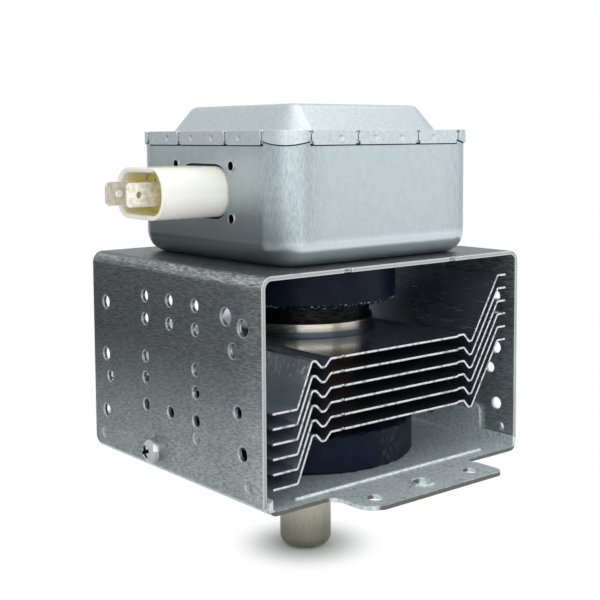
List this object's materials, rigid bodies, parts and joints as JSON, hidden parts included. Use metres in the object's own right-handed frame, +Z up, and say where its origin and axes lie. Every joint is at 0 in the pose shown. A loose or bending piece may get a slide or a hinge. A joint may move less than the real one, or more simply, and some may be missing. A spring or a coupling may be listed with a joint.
{
  "type": "microwave oven magnetron",
  "caption": "Microwave-oven magnetron: sealed tube with ring magnets in a perforated folded yoke, cooling fins, flanged mounting plate, output antenna and filter box with blade terminals.",
  "frame": {"origin": "centre of the four fixing holes on the underside of the mounting plate, on the tube's axis", "axes": "+Z up along the tube towards the filter box, antenna towards -Z, blade terminals towards -X, the yoke's open sides towards -Y and +Y"},
  "size_m": [0.1142, 0.1124, 0.131],
  "materials": {
    "galvanised_steel": "galvanised sheet, faint mottle",
    "zinc_screw": "bright zinc",
    "ferrite_magnet": "dark sintered ferrite",
    "anode_copper": "bright copper",
    "pole_iron": "turned iron",
    "seal_cup_steel": "dark brazed steel",
    "tungsten": "drawn wire",
    "molybdenum": "turned",
    "alumina": "fired alumina",
    "stem_nickel": "nickel plated",
    "antenna_nickel": "brushed nickel plate",
    "braid": "knitted wire",
    "fin_aluminium": "bright rolled sheet",
    "box_steel": "zinc coated, drawn",
    "lid_steel": "zinc coated, speckled",
    "white_plastic": "glossy warm white",
    "epoxy": "cast resin",
    "earth_steel": "zinc coated",
    "capacitor_ceramic": "fired",
    "tinned_brass": "tin plated",
    "choke_copper": "enamelled wire",
    "choke_ferrite": "sintered ferrite"
  },
  "bodies": {
    "root": {"yoke_frame": "galvanised_steel", "mounting_plate": "galvanised_steel", "yoke_screws": "zinc_screw", "upper_magnet": "ferrite_magnet", "lower_magnet": "ferrite_magnet", "anode_cylinder": "anode_copper", "anode_vanes": "anode_copper", "strap_rings": "anode_copper", "antenna_lead": "anode_copper", "exhaust_tube": "anode_copper", "upper_pole_piece": "pole_iron", "lower_pole_piece": "pole_iron", "cathode_seal_cup": "seal_cup_steel", "antenna_seal_cup": "seal_cup_steel", "filament": "tungsten", "upper_end_hat": "molybdenum", "lower_end_hat": "molybdenum", "centre_lead": "molybdenum", "side_lead": "molybdenum", "stem_ceramic": "alumina", "antenna_ceramic": "alumina", "stem_terminals": "stem_nickel", "antenna_cap": "antenna_nickel", "rf_gasket": "braid", "fin_1": "fin_aluminium", "fin_2": "fin_aluminium", "fin_3": "fin_aluminium", "fin_4": "fin_aluminium", "fin_5": "fin_aluminium", "fin_6": "fin_aluminium", "filter_box": "box_steel", "filter_lid": "lid_steel", "capacitor_sleeve": "white_plastic", "capacitor_case": "white_plastic", "capacitor_potting": "epoxy", "earth_plate": "earth_steel", "capacitor_ceramic": "capacitor_ceramic", "terminal_front": "tinned_brass", "terminal_rear": "tinned_brass", "choke_coil_front": "choke_copper", "choke_coil_rear": "choke_copper", "ferrite_core_front": "choke_ferrite", "ferrite_core_rear": "choke_ferrite"}
  },
  "joints": []
}
